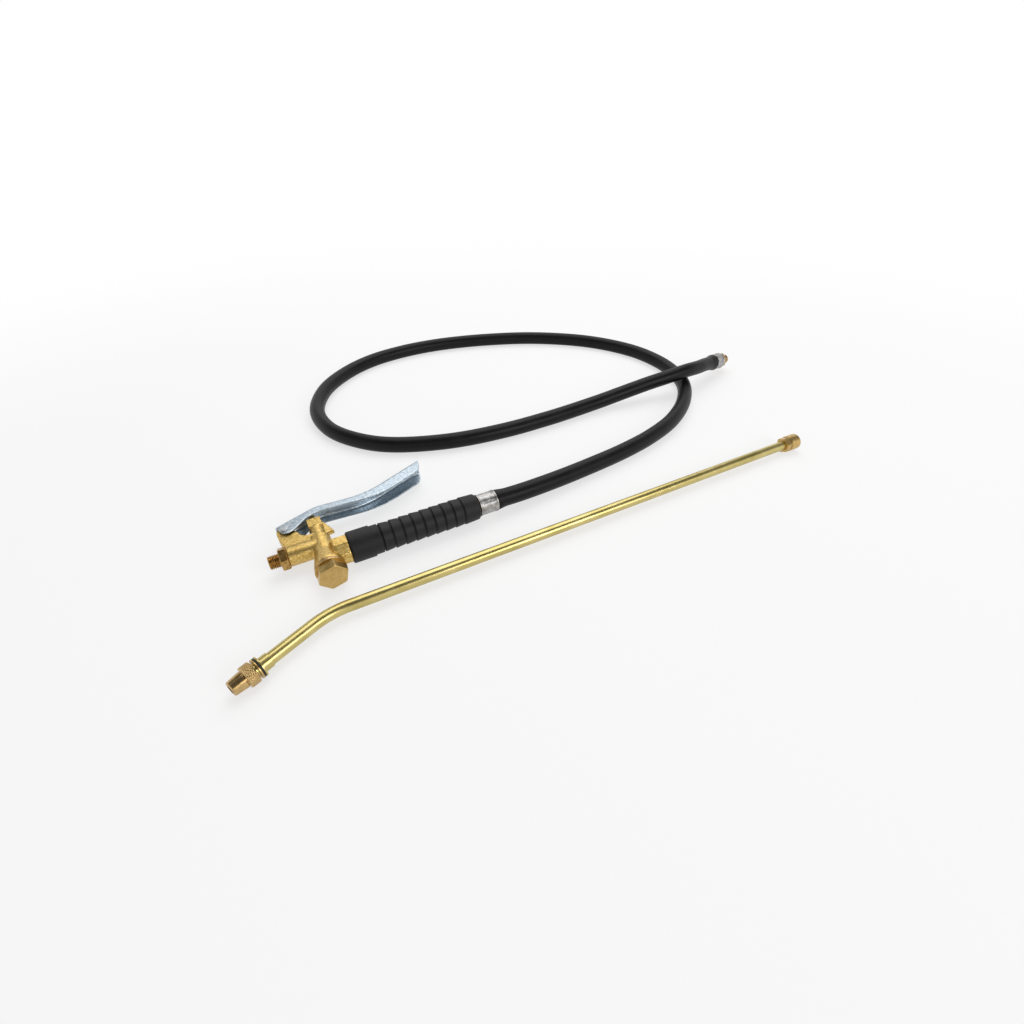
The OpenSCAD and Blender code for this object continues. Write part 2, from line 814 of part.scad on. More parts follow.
// a round bar along the whole lance, longer by extra at both ends: the bend is drawn a hair thinner than the
// straight parts, which run a little way into it
module lance_bar(d, extra) {
    bend_draw = 0.1;
    run_in = 0.4;
    at_lance() {
        along_x(0)
            bar(d, -run_in, lance_length + extra);
        translate([0, -lance_bend_r, 0])
            rotate([0, 0, 90])
                rotate_extrude(angle = lance_bend)
                    translate([lance_bend_r, 0])
                        circle(d = d - bend_draw);
    }
    at_nozzle()
        bar(d, tube_front - extra, lance_front + run_in);
}

module lance_tube() {
    color(tube_brass)
        difference() {
            lance_bar(lance_d, 0);
            lance_bar(lance_bore, over);
        }
}

// sleeve on the tube, flange, and the spigot that the nozzle cap screws on
module nozzle_body() {
    seal_back = lock_front + lock_thick + seal_ring_thick;
    color(turned_brass)
        at_nozzle()
            difference() {
                union() {
                    bar(spigot_d, spigot_front, flange_back);
                    bar(flange_d, seal_back, flange_back);
                    bar(lance_d + 2 * sleeve_wall, seal_back, sleeve_end);
                }
                bar(spigot_bore, spigot_front - over, tube_front + over);
                bar(lance_d + 2 * thread_gap, tube_front, sleeve_end + over);
            }
}

module lock_ring() {
    color(turned_brass)
        at_nozzle()
            ring(lock_d, spigot_d + 2 * thread_gap, lock_front, lock_front + lock_thick);
}

module nozzle_seal() {
    color(seal_rubber)
        at_nozzle()
            ring(lock_d - 0.2, spigot_d, lock_front + lock_thick, lock_front + lock_thick + seal_ring_thick);
}

// core with slanting passages that sets the water turning before it leaves
module swirl_core() {
    color(turned_brass)
        at_nozzle()
            difference() {
                bar(spigot_bore, spigot_front, spigot_front + core_length);
                for (turn = [0, 120, 240])
                    rotate([0, 0, turn])
                        translate([spigot_bore / 4, 0, spigot_front + core_length / 2])
                            rotate([25, 0, 0])
                                cylinder(d = core_hole, h = 2 * core_length, center = true);
            }
}

gasket_front = spigot_front - gasket_thick;

module jet_gasket() {
    color(seal_rubber)
        at_nozzle()
            ring(spigot_d - 0.8, spigot_bore, gasket_front, spigot_front);
}

module jet_disc() {
    color(bare_steel)
        at_nozzle()
            ring(spigot_d - 0.4, jet_hole, gasket_front - disc_plate, gasket_front);
}

// turned nose and knurled ring in one piece, screwed on the spigot
module nozzle_cap() {
    nose_r = nozzle_nose_d / 2;
    nose_taper = 0.9;
    tip_edge = 0.8;
    neck_r = nose_r - 0.5;
    ring_r = nozzle_ring_d / 2;
    ring_edge = 0.6;
    color(turned_brass)
        at_nozzle()
            difference() {
                rotate_extrude()
                    polygon([[0, 0], [nose_r - nose_taper - tip_edge, 0], [nose_r - nose_taper, tip_edge],
                        [nose_r, nose_end - 1], [neck_r, nose_end - 0.6], [neck_r, nose_end],
                        [ring_r - ring_edge, nose_end], [ring_r, nose_end + ring_edge],
                        [ring_r, ring_end - ring_edge], [ring_r - ring_edge, ring_end], [0, ring_end]]);
                bar(mouth_d, -over, ring_end);
                bar(spigot_d + 2 * push_gap, gasket_front - disc_plate, ring_end + over);
            }
}

// collar brazed on the tube's end, for the union nut to pull on
module union_collar() {
    color(turned_brass)
        at_lance()
            along_x(lance_length)
                difference() {
                    union() {
                        bar(lance_bore - 2 * thread_gap, -collar_sleeve, thread_gap);
                        bar(collar_d, 0, collar_thick);
                    }
                    bar(lance_bore - 2, -collar_sleeve - over, collar_thick + over);
                }
}

module union_seal() {
    color(seal_rubber)
        at_lance()
            along_x(lance_length)
                ring(collar_d - 1, lance_bore - 2, collar_thick, collar_thick + union_seal_thick);
}

// nut with a short hexagon on the tube's side and a smooth round body to its mouth
module union_nut() {
    hex_end = union_length - union_round;
    relief_end = union_shoulder + collar_thick + union_seal_thick;
    color(turned_brass)
        at_lance()
            along_x(lance_length - union_shoulder)
                difference() {
                    union() {
                        hexagon(union_d * cos(30), 0, hex_end + nut_chamfer, union_d - 1.5);
                        rotate_extrude()
                            polygon([[0, hex_end], [union_d / 2 - nut_chamfer, hex_end], [union_d / 2, hex_end + nut_chamfer],
                                [union_d / 2, union_length - nut_chamfer], [union_d / 2 - nut_chamfer, union_length],
                                [0, union_length]]);
                    }
                    bar(lance_d + 2 * run_gap, -over, union_shoulder);
                    bar(thread_d + 2 * thread_relief, union_shoulder, relief_end);
                    bar(thread_d + push_gap, relief_end, union_length + over);
                }
}

valve_body();
cap_nut();
cap_washer();
valve_spring();
valve_spindle();
disc_seal();
stem_packing();
gland_nut();
lever();
lever_pin();
outlet_nipple();
handle_tube();
hose_tail();
grip();
handle_ferrule();
hose();
end_ferrule();
end_fitting();
lance_tube();
nozzle_body();
lock_ring();
nozzle_seal();
swirl_core();
jet_disc();
jet_gasket();
nozzle_cap();
union_collar();
union_seal();
union_nut();
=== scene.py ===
import bmesh
import bpy
import numpy as np
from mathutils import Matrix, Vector


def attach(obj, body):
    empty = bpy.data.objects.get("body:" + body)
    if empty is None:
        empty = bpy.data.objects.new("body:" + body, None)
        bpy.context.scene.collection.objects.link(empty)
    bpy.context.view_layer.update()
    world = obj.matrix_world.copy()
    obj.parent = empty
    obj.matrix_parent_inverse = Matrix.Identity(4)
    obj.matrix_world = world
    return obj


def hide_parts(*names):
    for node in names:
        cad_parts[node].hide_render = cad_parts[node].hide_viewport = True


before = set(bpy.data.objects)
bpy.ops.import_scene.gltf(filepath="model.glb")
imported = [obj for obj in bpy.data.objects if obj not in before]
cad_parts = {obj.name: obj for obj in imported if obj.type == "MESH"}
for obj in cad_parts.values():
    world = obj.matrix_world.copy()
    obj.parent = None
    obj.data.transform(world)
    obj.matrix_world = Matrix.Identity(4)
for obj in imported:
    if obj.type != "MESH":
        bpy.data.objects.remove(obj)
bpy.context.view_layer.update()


# ---- Camera ----
# A wide lens stands about 0.4 m in front of the set and looks down on it from the nozzle's side.
# Place in metres, tilt and turn in degrees, shift as a share of the picture.
CAMERA_AT = (-0.21792, -0.34222, 0.325)
CAMERA_TILT = 49.4
CAMERA_TURN = -28.0
LENS_MM = 18.28
FRAME_SHIFT = 3 / 1024

lens = bpy.data.cameras.new("camera")
lens.lens = LENS_MM
lens.sensor_width = 36
lens.shift_y = FRAME_SHIFT
lens.clip_start = 0.02
lens.clip_end = 60
camera = bpy.data.objects.new("camera", lens)
camera.location = CAMERA_AT
camera.rotation_euler = np.radians([CAMERA_TILT, 0, CAMERA_TURN])
bpy.context.scene.collection.objects.link(camera)
bpy.context.scene.camera = camera


# ---- Pressure hose ----
# Extruded black rubber cover over a textile braid, 17.5 mm outside and 10.4 mm bore, 1.68 m long.
# It leaves the grip, lies on the floor in one loop, rides over itself and swells a little at each ferrule.
MM = 0.001
# the middle of the grip's front end, from which the whole gun is measured
GUN = np.array([-191, 5, 14]) * MM
HOSE_R = 8.75 * MM
HOSE_BORE_R = 5.2 * MM
HOSE_EXIT = GUN + np.array([122.2, 0, 0]) * MM
HOSE_SWELL = 1.15 * MM
SWELL_FROM = 16.6 * MM
SWELL_RUN = 12 * MM
HOSE_LIFT = GUN[2] - HOSE_R
END_YAW = np.radians(15.5)
END_DIP = np.radians(9)
END_STRAIGHT = 19 * MM
HOSE_END = HOSE_EXIT + np.array([428, 128, 0]) * MM
HOSE_END[2] = (0.5 + 0.43) * 2 * HOSE_R
END_WAY = np.array([np.cos(END_DIP) * np.cos(END_YAW), np.cos(END_DIP) * np.sin(END_YAW), -np.sin(END_DIP)])
# forward and sideways in millimetres, share of the grip's height, and lift as a share of the diameter
HOSE_ROUTE = np.array([
    [0, 0, 1, 0], [19, 0, 1, 0], [48, 1, 0.7, 0], [90, 5, 0.28, 0], [133, 10, 0.03, 0],
    [181, 16, 0, 0], [228, 26, 0, 0], [275, 43.5, 0, 0], [319, 73, 0, 0], [351, 111, 0, 0],
    [365, 158, 0, 0], [362, 206, 0, 0], [346, 246, 0, 0], [319, 283, 0, 0], [285, 313, 0, 0],
    [244, 339, 0, 0], [200, 358, 0, 0], [151, 373, 0, 0], [102, 381.5, 0, 0], [54, 381.5, 0, 0],
    [7, 372, 0, 0], [-36, 349, 0, 0], [-73, 312, 0, 0], [-94, 262, 0, 0], [-90, 211, 0, 0],
    [-65, 170, 0, 0], [-30, 143, 0, 0], [26, 123, 0, 0], [88, 115, 0, 0], [150, 115, 0, 0],
    [214, 118, 0, 0.07], [254, 116.5, 0, 0.33], [291, 114, 0, 0.62], [322, 109.5, 0, 0.9],
    [349, 108.5, 0, 1.04], [374, 112.5, 0, 0.91]])


def unit(v):
    """Each vector divided by its own length."""
    return v / np.linalg.norm(v, axis=-1, keepdims=True)


def ease(u):
    """0 below 0, 1 above 1, and 3u^2 - 2u^3 between."""
    v = np.clip(u, 0, 1)
    return v * v * (3 - 2 * v)


def smooth_line(points, steps):
    """Between neighbours b and c, with a and d beyond them, the line is the cubic
    (2b + (c-a)t + (2a-5b+4c-d)t^2 + (3b-a-3c+d)t^3) / 2, read at equal steps of t."""
    k = np.vstack([2 * points[0] - points[1], points, 2 * points[-1] - points[-2]])
    a, b, c, d = k[:-3, None], k[1:-2, None], k[2:-1, None], k[3:, None]
    t = (np.arange(steps) / steps)[None, :, None]
    line = (2 * b + (c - a) * t + (2 * a - 5 * b + 4 * c - d) * t ** 2 + (3 * b - a - 3 * c + d) * t ** 3) / 2
    return np.vstack([line.reshape(-1, 3), points[-1:]])


def run_along(line):
    """Distance along the line from its first point to each of its points."""
    return np.r_[0, np.cumsum(np.linalg.norm(np.diff(line, axis=0), axis=1))]


def tube_grid(line, way, radius, sides):
    """Ring i, angle a: line + radius (cos a up + sin a right), where right is level and square to the way."""
    right = unit(np.cross(way, [0, 0, 1]))
    up = np.cross(right, way)
    a = np.linspace(0, 2 * np.pi, sides, endpoint=False)[None, :, None]
    r = np.broadcast_to(radius, len(line))[:, None, None]
    return line[:, None] + r * (np.cos(a) * up[:, None] + np.sin(a) * right[:, None])


def skin(name, grid, loop):
    """Neighbours of the grid join as quads, round each row and from row to row, and from the last row to the
    first where loop is set. Rows that have shrunk to a point close. The UV map holds the turn and the run in
    metres. If the volume comes out negative the quads are turned round, so that they face outwards."""
    rows, sides = grid.shape[:2]
    i = np.arange(rows if loop else rows - 1)[:, None]
    j = np.arange(sides)[None, :]
    after = (i + 1) % rows
    beside = (j + 1) % sides
    quads = np.stack([i * sides + j, i * sides + beside, after * sides + beside, after * sides + j], -1)
    steps = np.linalg.norm(np.roll(grid[:, 0], -1, 0) - grid[:, 0], axis=1)
    run = np.r_[0, np.cumsum(steps)]
    u0, v0 = np.broadcast_arrays(j / sides, run[i])
    u1, v1 = np.broadcast_arrays((j + 1) / sides, run[i + 1])
    uv = np.stack([u0, v0, u1, v0, u1, v1, u0, v1], -1).reshape(-1, 4, 2)
    quads = quads.reshape(-1, 4)
    points = grid.reshape(-1, 3)
    centred = points - points.mean(0)
    p, q, r, s = (centred[quads[:, k]] for k in range(4))
    if np.einsum("ij,ij->", p, np.cross(q, r)) + np.einsum("ij,ij->", p, np.cross(r, s)) < 0:
        quads, uv = quads[:, ::-1], uv[:, ::-1]
    mesh = bpy.data.meshes.new(name)
    mesh.from_pydata(points, [], quads)
    mesh.uv_layers.new(name="UVMap").data.foreach_set("uv", uv.astype(np.float32).ravel())
    work = bmesh.new()
    work.from_mesh(mesh)
    bmesh.ops.remove_doubles(work, verts=work.verts, dist=1e-7)
    work.to_mesh(mesh)
    work.free()
    mesh.shade_smooth()
    mesh.set_sharp_from_angle(angle=np.radians(42))
    piece = bpy.data.objects.new(name, mesh)
    bpy.context.scene.collection.objects.link(piece)
    even = piece.modifiers.new("even_shading", "WEIGHTED_NORMAL")
    even.keep_sharp = True
    return piece


def linear(hex_colour):
    """sRGB hex to linear: c/12.92 below 0.04045, otherwise ((c + 0.055) / 1.055) to the power 2.4."""
    c = np.array([int(hex_colour[k:k + 2], 16) for k in (1, 3, 5)]) / 255
    return (*np.where(c <= 0.04045, c / 12.92, ((c + 0.055) / 1.055) ** 2.4), 1.0)


def add(tree, kind, inputs=None, **settings):
    """Adds a node, gives it its settings, and sets or links each of its named inputs."""
    made = tree.nodes.new(kind)
    for key, value in settings.items():
        setattr(made, key, value)
    for key, value in (inputs or {}).items():
        if isinstance(value, bpy.types.NodeSocket):
            tree.links.new(value, made.inputs[key])
        else:
            made.inputs[key].default_value = value
    return made


def new_finish(name):
    """An empty material and its node tree."""
    finish = bpy.data.materials.new(name)
    finish.use_nodes = True
    finish.node_tree.nodes.clear()
    return finish, finish.node_tree


def noise(tree, scale=1.0, detail=3, roughness=0.5, coords="Object", stretch=None, turn=0.0):
    """Noise in the piece's own coordinates, where the scale counts patches a metre, or in its UV map. A
    stretch along each axis, turned about z afterwards, draws the patches out into lines."""
    place = add(tree, "ShaderNodeTexCoord").outputs[coords]
    if stretch:
        place = add(tree, "ShaderNodeMapping", {
            "Vector": place, "Scale": stretch, "Rotation": (0, 0, turn)}).outputs["Vector"]
    return add(tree, "ShaderNodeTexNoise", {
        "Vector": place, "Scale": scale, "Detail": detail, "Roughness": roughness}).outputs["Fac"]


def ramp(tree, factor, *stops):
    """The colour between stops, each a place and a hex colour, at the factor's place."""
    made = add(tree, "ShaderNodeValToRGB", {"Fac": factor})
    for k, (place, colour) in enumerate(stops):
        point = made.color_ramp.elements[k] if k < 2 else made.color_ramp.elements.new(1.0)
        point.position = place
        point.color = linear(colour)
    return made.outputs["Color"]


def between(tree, factor, low, high):
    """From low to high as the factor goes from 0 to 1."""
    return add(tree, "ShaderNodeMapRange", {"Value": factor, "To Min": low, "To Max": high}).outputs["Result"]


def bumps(tree, height, strength, distance):
    """A normal that leans as if the height, times the distance in metres, stood out of the surface."""
    return add(tree, "ShaderNodeBump", {
        "Height": height, "Strength": strength, "Distance": distance}).outputs["Normal"]


def coat(tree, inputs):
    """The material is one principled surface with these inputs."""
    shader = add(tree, "ShaderNodeBsdfPrincipled", inputs)
    add(tree, "ShaderNodeOutputMaterial", {"Surface": shader.outputs["BSDF"]})


def put_on(piece, finish, body, slot, *nodes):
    """The piece gets its finish, rides on its body and stands for its solids."""
    piece.data.materials.append(finish)
    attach(piece, body)
    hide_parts(*nodes)
    return piece


# extruded rubber: nearly black, with faint die lines along it and a dusty bloom in patches of 22 mm, which
# dulls its gloss
hose_rubber, tree = new_finish("extruded_rubber")
die_lines = noise(tree, coords="UV", stretch=(60, 12, 1))
bloom = noise(tree, scale=45, detail=5)
coat(tree, {
    "Base Color": ramp(tree, bloom, (0.3, "#0c0c0d"), (0.7, "#161617")),
    "Roughness": between(tree, bloom, 0.32, 0.48), "Normal": bumps(tree, die_lines, 0.25, 0.0002),
    "IOR": 1.5, "Specular IOR Level": 0.18})

route = np.stack([HOSE_EXIT[0] + HOSE_ROUTE[:, 0] * MM, HOSE_EXIT[1] + HOSE_ROUTE[:, 1] * MM,
                  HOSE_R + HOSE_ROUTE[:, 2] * HOSE_LIFT + HOSE_ROUTE[:, 3] * 2 * HOSE_R], 1)
route = np.vstack([route, HOSE_END - 2 * END_STRAIGHT * END_WAY, HOSE_END - END_STRAIGHT * END_WAY, HOSE_END])
hose_line = smooth_line(route, 8)
hose_line[:, 2] = np.maximum(hose_line[:, 2], HOSE_R)
hose_way = unit(np.vstack([[1, 0, 0], hose_line[2:] - hose_line[:-2], END_WAY]))
hose_run = run_along(hose_line)
from_end = np.minimum(hose_run, hose_run[-1] - hose_run) - SWELL_FROM
swell = np.where(from_end < 0, 0, HOSE_SWELL * ease(1 - from_end / SWELL_RUN))
hose = skin("pressure_hose", np.vstack([
    tube_grid(hose_line, hose_way, HOSE_R + swell, sides=40),
    tube_grid(hose_line, hose_way, HOSE_BORE_R, sides=40)[::-1]]), loop=True)
put_on(hose, hose_rubber, "gun", "black_hose", "hose")


# ---- Valve body ----
# One brass sand casting: tower, outlet barrel, eight-sided inlet boss, lever lug and a thin fin.
# The skin is matt and finely grained as cast, and its edges and roots are soft.
BODY_VOXEL = 0.5 * MM
CAST_GRAIN = 0.7 * MM
CAST_WAVE = 0.05 * MM
RELAX_PASSES = 5

# sand-cast brass: bright gold, with a sand grain in its relief and gloss and 2 mm patches of colour
cast_brass, tree = new_finish("sand_cast_brass")
grain = noise(tree, scale=1 / CAST_GRAIN, detail=4, roughness=0.6)
cloud = noise(tree, scale=520, detail=5)
coat(tree, {
    "Base Color": ramp(tree, cloud, (0.34, "#bd994f"), (0.66, "#e0c27a")), "Metallic": 1.0,
    "Roughness": between(tree, grain, 0.22, 0.42), "Normal": bumps(tree, grain, 0.6, 0.0004)})


def cast_copy(node, name, voxel, passes):
    """The solid's own surface rebuilt on an even grid of cells and relaxed, which rounds every edge and root.
    Each point then moves along its normal by half the cast wave times a sum of products of sines of its place
    in millimetres, and by a whole wave inwards, so that it stays inside the solid."""
    work = bmesh.new()
    work.from_mesh(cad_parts[node].data)
    bmesh.ops.remove_doubles(work, verts=work.verts, dist=1e-6)
    mesh = bpy.data.meshes.new(name)
    work.to_mesh(mesh)
    work.free()
    rough = bpy.data.objects.new(name + "_rough", mesh)
    bpy.context.scene.collection.objects.link(rough)
    cells = rough.modifiers.new("cells", "REMESH")
    cells.mode = "VOXEL"
    cells.voxel_size = voxel
    relax = rough.modifiers.new("relax", "SMOOTH")
    relax.factor = 0.5
    relax.iterations = passes
    made = bpy.data.meshes.new_from_object(rough.evaluated_get(bpy.context.evaluated_depsgraph_get()))
    made.name = name
    bpy.data.objects.remove(rough)
    at = np.zeros(len(made.vertices) * 3, np.float32)
    made.vertices.foreach_get("co", at)
    out = np.zeros(len(made.vertices) * 3, np.float32)
    made.vertex_normals.foreach_get("vector", out)
    at, out = at.reshape(-1, 3), out.reshape(-1, 3)
    x, y, z = at.T * 1000
    wave = np.sin(1.9 * x + 0.7 * np.sin(y)) * np.sin(2.3 * y + z) \
        + 0.6 * np.sin(3.7 * z + x) * np.sin(3.1 * y - x)
    moved = at + out * (CAST_WAVE / 2 * wave - CAST_WAVE)[:, None]
    made.vertices.foreach_set("co", moved.astype(np.float32).ravel())
    made.materials.clear()
    made.shade_smooth()
    piece = bpy.data.objects.new(name, made)
    bpy.context.scene.collection.objects.link(piece)
    return piece


body = cast_copy("valve_body", "cast_body", BODY_VOXEL, RELAX_PASSES)
put_on(body, cast_brass, "gun", "cast_brass", "valve_body")


# ---- Cap nut and its washer ----
# Turned brass hexagon with a flange and a hollow plug that screws into the foot of the tower.
# A soft copper washer is squeezed under the flange.

# the tower's axis runs along y through this point
TOWER = GUN + np.array([-19.5, 0, 0]) * MM
ALONG_Y = np.array([0, 1, 0])
ALONG_X = np.array([1, 0, 0])
ALONG_Z = np.array([0, 0, 1])
EDGE_BREAK = 0.6
HEX_POWER = 70


def rounded(outline, fillet, closed=True, arc=4):
    """Each corner is cut back along both edges by the fillet and bridged with the quadratic curve
    (1-t)^2 start + 2t(1-t) corner + t^2 end."""
    p = np.asarray(outline, float)
    back, ahead = np.roll(p, 1, 0) - p, np.roll(p, -1, 0) - p
    start = p + unit(back) * np.minimum(fillet, 0.45 * np.linalg.norm(back, axis=1))[:, None]
    end = p + unit(ahead) * np.minimum(fillet, 0.45 * np.linalg.norm(ahead, axis=1))[:, None]
    t = np.linspace(0, 1, arc + 1)[None, :, None]
    curve = (1 - t) ** 2 * start[:, None] + 2 * t * (1 - t) * p[:, None] + t ** 2 * end[:, None]
    if closed:
        return np.vstack([curve.reshape(-1, 2), curve[0, :1]])
    return np.vstack([p[:1], curve[1:-1].reshape(-1, 2), p[-1:]])


def fine(outline, step):
    """Read off the outline at its own corners and at every step along it."""
    run = run_along(outline)
    at = np.union1d(np.round(run, 6), np.round(np.arange(0, run[-1], step), 6))
    return np.stack([np.interp(at, run, outline[:, k]) for k in (0, 1)], 1)


def turned(name, outline, origin, x_axis, z_axis, sides=96, change=None):
    """Point (r, z) of the outline, in millimetres, goes round as r cos a, r sin a, z in the axes given.
    change may give another r for each r, a and z. An outline that ends where it began makes a ring."""
    loop = bool(np.allclose(outline[0], outline[-1]))
    outline = outline[:-1] if loop else outline
    a = np.linspace(0, 2 * np.pi, sides, endpoint=False)[None, :]
    r, z = outline[:, :1] + 0 * a, outline[:, 1:] + 0 * a
    r = r if change is None else change(r, a, z)
    y_axis = np.cross(z_axis, x_axis)
    grid = origin + MM * ((r * np.cos(a))[..., None] * x_axis + (r * np.sin(a))[..., None] * y_axis
                          + z[..., None] * z_axis)
    return skin(name, grid, loop)


def hexagon(flats, corner_at, low, high, faces):
    """Between two heights r is held inside a soft-edged hexagon: half the flats over the sum of the positive
    cosines to each flat, each to the hexagon's power, to one over that power. Near each free face, u edge
    breaks away, it loses (1 - u)^2 of an edge break."""
    middles = np.radians(corner_at + 30 + 60 * np.arange(6))[:, None, None]

    def change(r, a, z):
        sharp = (np.maximum(np.cos(a - middles), 0) ** HEX_POWER).sum(0) ** (1 / HEX_POWER)
        lost = sum(EDGE_BREAK * np.clip(1 - np.abs(z - face) / EDGE_BREAK, 0, 1) ** 2 for face in faces)
        return np.where((z > low) & (z < high), np.minimum(r, flats / 2 / sharp - lost), r)
    return change


# machined brass: smooth and warm, with fine turning rings and a handling bloom in patches of 4.5 mm
turned_brass, tree = new_finish("machined_brass")
rings = noise(tree, detail=2, coords="UV", stretch=(2, 3000, 1))
cloud = noise(tree, scale=220, detail=4)
coat(tree, {
    "Base Color": ramp(tree, cloud, (0.3, "#bb9b5c"), (0.7, "#d0b174")), "Metallic": 1.0,
    "Roughness": between(tree, cloud, 0.24, 0.4), "Normal": bumps(tree, rings, 0.2, 0.0001)})

cap_outline = fine(rounded([
    [0, -28], [11.9, -28], [13.2, -27], [13.2, -19], [13, -19], [13, -17.5],
    [8.5, -17.5], [8.5, -9.5], [6.5, -9.5], [6.5, -22], [0, -22]], 0.25, closed=False), 0.25)
cap = turned("brass_cap", cap_outline, TOWER, ALONG_X, ALONG_Y,
             change=hexagon(flats=22.4, corner_at=-15, low=-28.5, high=-18.95, faces=[-28]))
put_on(cap, turned_brass, "gun", "turned_brass", "cap_nut")

# soft copper: pinkish and dull from being squeezed, uneven every 3 mm
soft_copper, tree = new_finish("soft_copper")
cloud = noise(tree, scale=300, detail=4)
coat(tree, {
    "Base Color": ramp(tree, cloud, (0.3, "#a5826a"), (0.7, "#c4a188")), "Metallic": 1.0, "Roughness": 0.42})
washer = turned("copper_washer", rounded([
    [8.56, -17.45], [12.8, -17.45], [12.8, -16.05], [8.56, -16.05]], 0.5), TOWER, ALONG_X, ALONG_Y)
put_on(washer, soft_copper, "gun", "copper", "cap_washer")


# ---- Outlet nipple ----
# Turned brass hexagon screwed into the outlet barrel, with a 12 mm male thread for a union nut.
# Its thread is cut as one helical groove, and the whole piece has gone brown in small patches.

# the end of the outlet barrel, whose axis runs along x
OUTLET = GUN + np.array([-48, 13, 0]) * MM
PITCH = 1.5
THREAD_DEPTH = 0.75


def thread(low, high, crest):
    """Between two heights r drops from the crest by the depth times a triangle wave of (z / pitch - turn),
    which runs out over half a pitch at each end."""
    def change(r, a, z):
        share = np.mod(z / PITCH - a / (2 * np.pi), 1)
        runs_out = np.clip(np.minimum(z - low, high - z) / (PITCH / 2), 0, 1)
        valley = THREAD_DEPTH * np.clip(1.25 - np.abs(share - 0.5) * 3, 0, 1) * runs_out
        return np.where((z > low) & (z < high) & (r > crest - 1), np.minimum(r, crest - valley), r)
    return change


def both(first, second):
    """One change of r after the other."""
    return lambda r, a, z: second(first(r, a, z), a, z)


# cut thread: brass gone copper-brown in patches of 2.5 mm, and bright between them
thread_brass, tree = new_finish("cut_thread_brass")
cloud = noise(tree, scale=400, detail=4)
coat(tree, {
    "Base Color": ramp(tree, cloud, (0.3, "#8a6a35"), (0.7, "#c7a163")), "Metallic": 1.0, "Roughness": 0.3})

nipple_outline = fine(rounded([
    [3.5, -8], [5.5, -8], [5.5, 0], [9.3, 0], [10.6, 1], [10.6, 5.5], [9.3, 6.5], [6, 6.5],
    [6, 14.7], [5.2, 15.5], [3.5, 15.5]], 0.15), 0.18)
nipple = turned("threaded_nipple", nipple_outline, OUTLET, ALONG_Z, -ALONG_X,
                change=both(hexagon(flats=18, corner_at=0, low=-0.01, high=6.6, faces=[0, 6.5]),
                            thread(low=6.7, high=15.5, crest=6)))
put_on(nipple, thread_brass, "gun", "turned_brass", "outlet_nipple")


# ---- Lever ----
# One pressed channel of 1.6 mm steel sheet, open towards the grip and zinc plated a light blue grey.
# Two ears hang it on the pin, the web presses the valve stem, and the deeper hand part is cut off at a slant.
LEVER_SHEET = 1.6
LEVER_WIDTH = 16.2
LEVER_FOLD_R = 4.0
EAR_DEPTH, WAIST_DEPTH, HAND_DEPTH = 16.0, 10.0, 15.0
EAR_TAPER_FROM, EAR_TAPER = 8.0, 20.0
HAND_TAPER_AHEAD, HAND_TAPER = 4.0, 50.0
EAR_SLOPE, WAIST_SLOPE, HAND_SLOPE = np.radians([21, -3, 24])
EAR_RUN, WAIST_RUN, HAND_RUN = 32.0, 22.0, 52.6
WAIST_BEND_R, HAND_BEND_R = 34.0, 70.0
EAR_CORNER_R, TIP_CORNER_R = 5.0, 6.0
LEVER_LIFT = 9.3
LEVER_OVERHANG = 3.5
TIP_SLANT = np.radians(35)
TIP_SLANT_RUN = 40.0
# the pin's axis runs along z, and lies here in the gun's x and y
PIN = np.array([-45.0, 41.0])

waist_bend_run = WAIST_BEND_R * abs(WAIST_SLOPE - EAR_SLOPE)
hand_bend_run = HAND_BEND_R * abs(HAND_SLOPE - WAIST_SLOPE)
bend_stations = np.cumsum([0, EAR_RUN, waist_bend_run, WAIST_RUN, hand_bend_run, HAND_RUN])
lever_length = bend_stations[-1]
# stations stand closer together near the two ends, where the sheet rounds off
edge_steps = np.array([0, 0.08, 0.25, 0.5, 0.8, 1.3])
stations = np.unique(np.r_[edge_steps, np.linspace(2, lever_length - 2, 150), lever_length - edge_steps])
# slope changes evenly round each bend, and the place is the running sum of its direction
fine_stations = np.linspace(0, lever_length, 6000)
fine_slope = np.interp(fine_stations, bend_stations,
                       [EAR_SLOPE, EAR_SLOPE, WAIST_SLOPE, WAIST_SLOPE, HAND_SLOPE, HAND_SLOPE])
step = fine_stations[1]
start = PIN - LEVER_OVERHANG * np.array([np.cos(EAR_SLOPE), np.sin(EAR_SLOPE)]) \
    + LEVER_LIFT * np.array([-np.sin(EAR_SLOPE), np.cos(EAR_SLOPE)])
fine_path = start + np.stack([np.cumsum(np.cos(fine_slope)), np.cumsum(np.sin(fine_slope))], 1) * step
slope = np.interp(stations, fine_stations, fine_slope)[:, None]
path_x = np.interp(stations, fine_stations, fine_path[:, 0])[:, None]
path_y = np.interp(stations, fine_stations, fine_path[:, 1])[:, None]


def corner_loss(d, r):
    """How much a round corner of radius r takes off the depth at distance d from the end."""
    return np.where(d < r, r - np.sqrt(np.maximum(0, r * r - np.minimum(r - d, r) ** 2)), 0)


hand_taper_from = bend_stations[3] - HAND_TAPER_AHEAD
depth = EAR_DEPTH + (WAIST_DEPTH - EAR_DEPTH) * ease((stations - EAR_TAPER_FROM) / EAR_TAPER) \
    + (HAND_DEPTH - WAIST_DEPTH) * ease((stations - hand_taper_from) / HAND_TAPER) \
    - corner_loss(stations, EAR_CORNER_R) - corner_loss(lever_length - stations, TIP_CORNER_R)
slant = (np.tan(TIP_SLANT) * ease((stations - lever_length + TIP_SLANT_RUN) / TIP_SLANT_RUN))[:, None]
